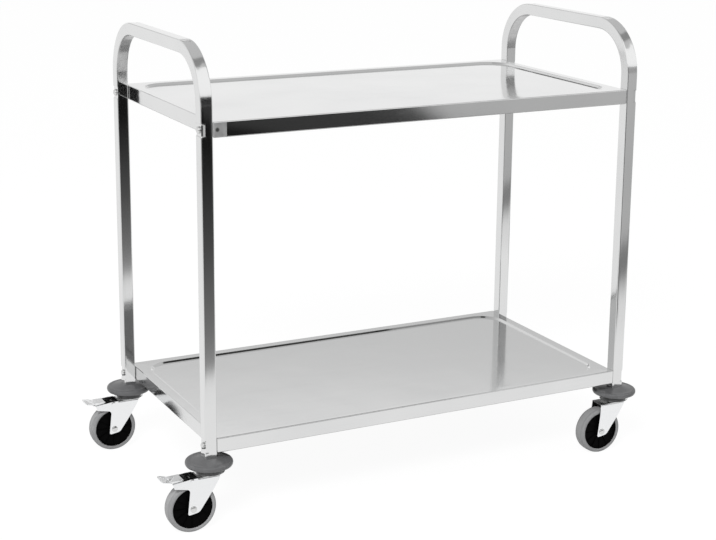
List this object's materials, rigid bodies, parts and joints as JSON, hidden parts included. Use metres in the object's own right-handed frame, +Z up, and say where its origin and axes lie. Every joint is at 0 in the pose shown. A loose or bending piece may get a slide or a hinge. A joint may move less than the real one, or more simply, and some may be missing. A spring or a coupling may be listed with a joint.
{
  "type": "serving trolley",
  "caption": "Serving trolley with tray shelves folded from stainless sheet, bent square tube end hoops as legs and handles, and swivel castors with bumpers and foot brakes.",
  "frame": {"origin": "on the floor, under the middle of the box round the whole trolley at rest", "axes": "+X along the trolley's length from the braked end to the other, +Y across its depth from the front row of castors to the rear row, +Z up"},
  "size_m": [1.105, 0.569, 0.945],
  "materials": {
    "polished_steel": "stainless steel sheet and tube, polished nearly to a mirror",
    "bright_hardware": "bright stainless steel bolts, pins and nuts",
    "zinc_plate": "pressed steel with a bright zinc plating, soft gloss",
    "bumper_rubber": "mid-grey moulded rubber, soft sheen",
    "grey_tyre": "mid-grey non-marking rubber, smooth",
    "black_plastic": "black moulded plastic, smooth"
  },
  "bodies": {
    "frame": {"end_hoop_left": "polished_steel", "end_hoop_right": "polished_steel", "shelf_upper": "polished_steel", "shelf_lower": "polished_steel", "shelf_bolt_upper_front_left": "bright_hardware", "shelf_bolt_upper_rear_left": "bright_hardware", "shelf_bolt_upper_front_right": "bright_hardware", "shelf_bolt_upper_rear_right": "bright_hardware", "shelf_bolt_lower_front_left": "bright_hardware", "shelf_bolt_lower_rear_left": "bright_hardware", "shelf_bolt_lower_front_right": "bright_hardware", "shelf_bolt_lower_rear_right": "bright_hardware", "shelf_nut_upper_front_left": "bright_hardware", "shelf_nut_upper_rear_left": "bright_hardware", "shelf_nut_upper_front_right": "bright_hardware", "shelf_nut_upper_rear_right": "bright_hardware", "shelf_nut_lower_front_left": "bright_hardware", "shelf_nut_lower_rear_left": "bright_hardware", "shelf_nut_lower_front_right": "bright_hardware", "shelf_nut_lower_rear_right": "bright_hardware", "socket_plate_front_left": "bright_hardware", "socket_plate_rear_left": "bright_hardware", "socket_plate_front_right": "bright_hardware", "socket_plate_rear_right": "bright_hardware", "king_bolt_front_left": "bright_hardware", "king_bolt_rear_left": "bright_hardware", "king_bolt_front_right": "bright_hardware", "king_bolt_rear_right": "bright_hardware", "bumper_front_left": "bumper_rubber", "bumper_rear_left": "bumper_rubber", "bumper_front_right": "bumper_rubber", "bumper_rear_right": "bumper_rubber", "swivel_cup_front_left": "zinc_plate", "swivel_cup_rear_left": "zinc_plate", "swivel_cup_front_right": "zinc_plate", "swivel_cup_rear_right": "zinc_plate"},
    "swivel_front_left": {"fork_front_left": "zinc_plate", "axle_bolt_front_left": "bright_hardware", "axle_nut_front_left": "bright_hardware", "brake_pin_front_left": "bright_hardware"},
    "swivel_rear_left": {"fork_rear_left": "zinc_plate", "axle_bolt_rear_left": "bright_hardware", "axle_nut_rear_left": "bright_hardware", "brake_pin_rear_left": "bright_hardware"},
    "swivel_front_right": {"fork_front_right": "zinc_plate", "axle_bolt_front_right": "bright_hardware", "axle_nut_front_right": "bright_hardware"},
    "swivel_rear_right": {"fork_rear_right": "zinc_plate", "axle_bolt_rear_right": "bright_hardware", "axle_nut_rear_right": "bright_hardware"},
    "wheel_front_left": {"wheel_core_front_left": "black_plastic", "tyre_front_left": "grey_tyre"},
    "wheel_rear_left": {"wheel_core_rear_left": "black_plastic", "tyre_rear_left": "grey_tyre"},
    "wheel_front_right": {"wheel_core_front_right": "black_plastic", "tyre_front_right": "grey_tyre"},
    "wheel_rear_right": {"wheel_core_rear_right": "black_plastic", "tyre_rear_right": "grey_tyre"},
    "brake_front_left": {"brake_pedal_front_left": "zinc_plate"},
    "brake_rear_left": {"brake_pedal_rear_left": "zinc_plate"}
  },
  "joints": [
    {"name": "swivel_turn_front_left", "type": "hinge", "parent": "frame", "child": "swivel_front_left", "pos_m": [-0.4495, -0.2375, 0.113], "axis": [0, 0, 1], "continuous": true},
    {"name": "swivel_turn_rear_left", "type": "hinge", "parent": "frame", "child": "swivel_rear_left", "pos_m": [-0.4495, 0.2375, 0.113], "axis": [0, 0, 1], "continuous": true},
    {"name": "swivel_turn_front_right", "type": "hinge", "parent": "frame", "child": "swivel_front_right", "pos_m": [0.5055, -0.2375, 0.113], "axis": [0, 0, 1], "continuous": true},
    {"name": "swivel_turn_rear_right", "type": "hinge", "parent": "frame", "child": "swivel_rear_right", "pos_m": [0.5055, 0.2375, 0.113], "axis": [0, 0, 1], "continuous": true},
    {"name": "wheel_spin_front_left", "type": "hinge", "parent": "swivel_front_left", "child": "wheel_front_left", "pos_m": [-0.4895, -0.2375, 0.05], "axis": [0, 1, 0], "continuous": true},
    {"name": "wheel_spin_rear_left", "type": "hinge", "parent": "swivel_rear_left", "child": "wheel_rear_left", "pos_m": [-0.4895, 0.2375, 0.05], "axis": [0, 1, 0], "continuous": true},
    {"name": "wheel_spin_front_right", "type": "hinge", "parent": "swivel_front_right", "child": "wheel_front_right", "pos_m": [0.4655, -0.2375, 0.05], "axis": [0, 1, 0], "continuous": true},
    {"name": "wheel_spin_rear_right", "type": "hinge", "parent": "swivel_rear_right", "child": "wheel_rear_right", "pos_m": [0.4655, 0.2375, 0.05], "axis": [0, 1, 0], "continuous": true},
    {"name": "brake_press_front_left", "type": "hinge", "parent": "swivel_front_left", "child": "brake_front_left", "pos_m": [-0.4905, -0.2375, 0.108], "axis": [0, -1, 0], "range_deg": [0, 10]},
    {"name": "brake_press_rear_left", "type": "hinge", "parent": "swivel_rear_left", "child": "brake_rear_left", "pos_m": [-0.4905, 0.2375, 0.108], "axis": [0, -1, 0], "range_deg": [0, 10]}
  ]
}
